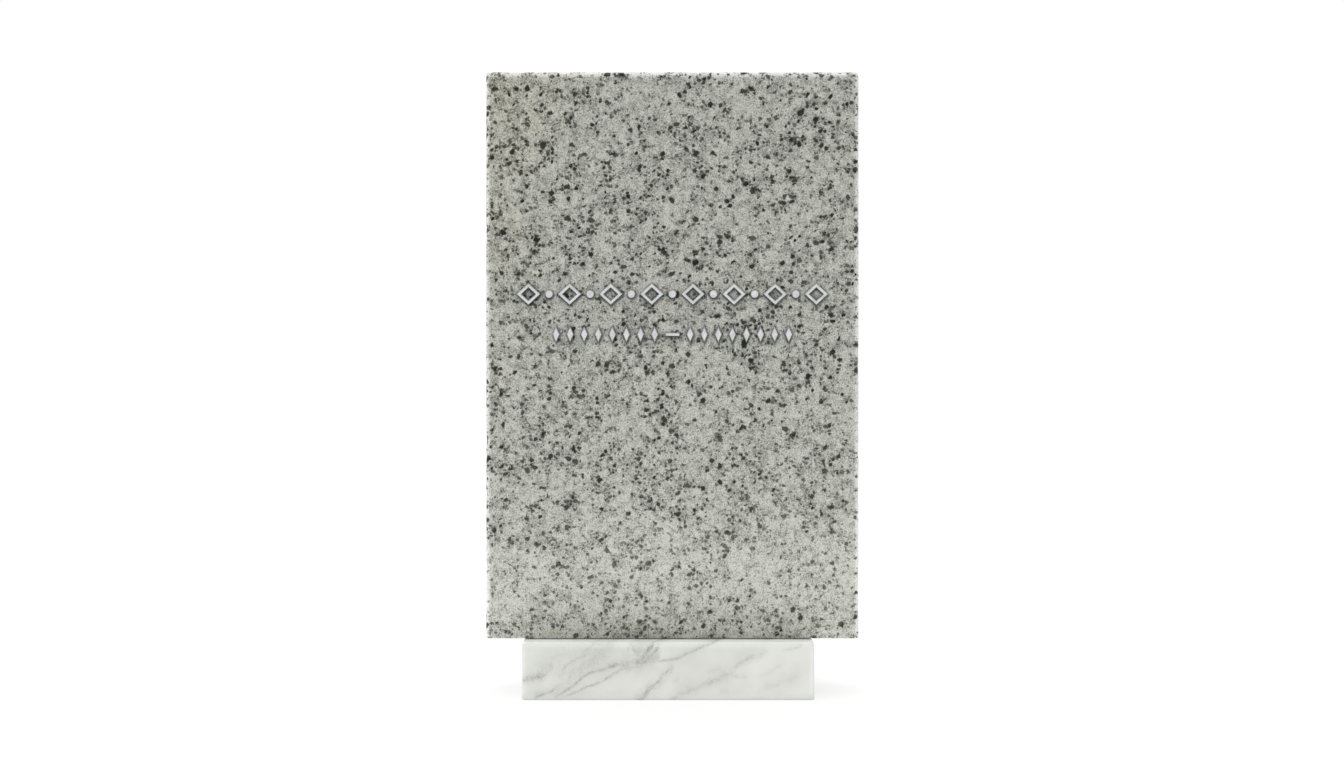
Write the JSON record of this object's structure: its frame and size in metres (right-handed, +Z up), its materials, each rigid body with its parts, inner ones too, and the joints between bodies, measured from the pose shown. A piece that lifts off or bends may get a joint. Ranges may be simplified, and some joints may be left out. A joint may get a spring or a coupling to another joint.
{
  "type": "grave plaque",
  "caption": "Upright speckled granite grave plaque on a narrower veined marble base, with bands of plain applied metal ornament where an inscription goes.",
  "frame": {"origin": "on the ground under the middle of the slab, half way through its thickness", "axes": "+Z is up along the slab's height, +X runs to the right across its front, +Y runs from the front to the back"},
  "size_m": [0.4, 0.12, 0.6695],
  "materials": {
    "granite": "satin",
    "marble": "satin",
    "mortar": "matte",
    "silver_metal": "satin"
  },
  "bodies": {
    "root": {"granite_slab": "granite", "lower_bar": "silver_metal", "lower_lozenge_left_1": "silver_metal", "lower_lozenge_left_2": "silver_metal", "lower_lozenge_left_3": "silver_metal", "lower_lozenge_left_4": "silver_metal", "lower_lozenge_left_5": "silver_metal", "lower_lozenge_left_6": "silver_metal", "lower_lozenge_left_7": "silver_metal", "lower_lozenge_left_8": "silver_metal", "lower_lozenge_right_1": "silver_metal", "lower_lozenge_right_2": "silver_metal", "lower_lozenge_right_3": "silver_metal", "lower_lozenge_right_4": "silver_metal", "lower_lozenge_right_5": "silver_metal", "lower_lozenge_right_6": "silver_metal", "lower_lozenge_right_7": "silver_metal", "lower_lozenge_right_8": "silver_metal", "marble_base": "marble", "setting_bed": "mortar", "upper_lozenge_1": "silver_metal", "upper_lozenge_2": "silver_metal", "upper_lozenge_3": "silver_metal", "upper_lozenge_4": "silver_metal", "upper_lozenge_5": "silver_metal", "upper_lozenge_6": "silver_metal", "upper_lozenge_7": "silver_metal", "upper_lozenge_8": "silver_metal", "upper_stud_1": "silver_metal", "upper_stud_2": "silver_metal", "upper_stud_3": "silver_metal", "upper_stud_4": "silver_metal", "upper_stud_5": "silver_metal", "upper_stud_6": "silver_metal", "upper_stud_7": "silver_metal"}
  },
  "joints": []
}
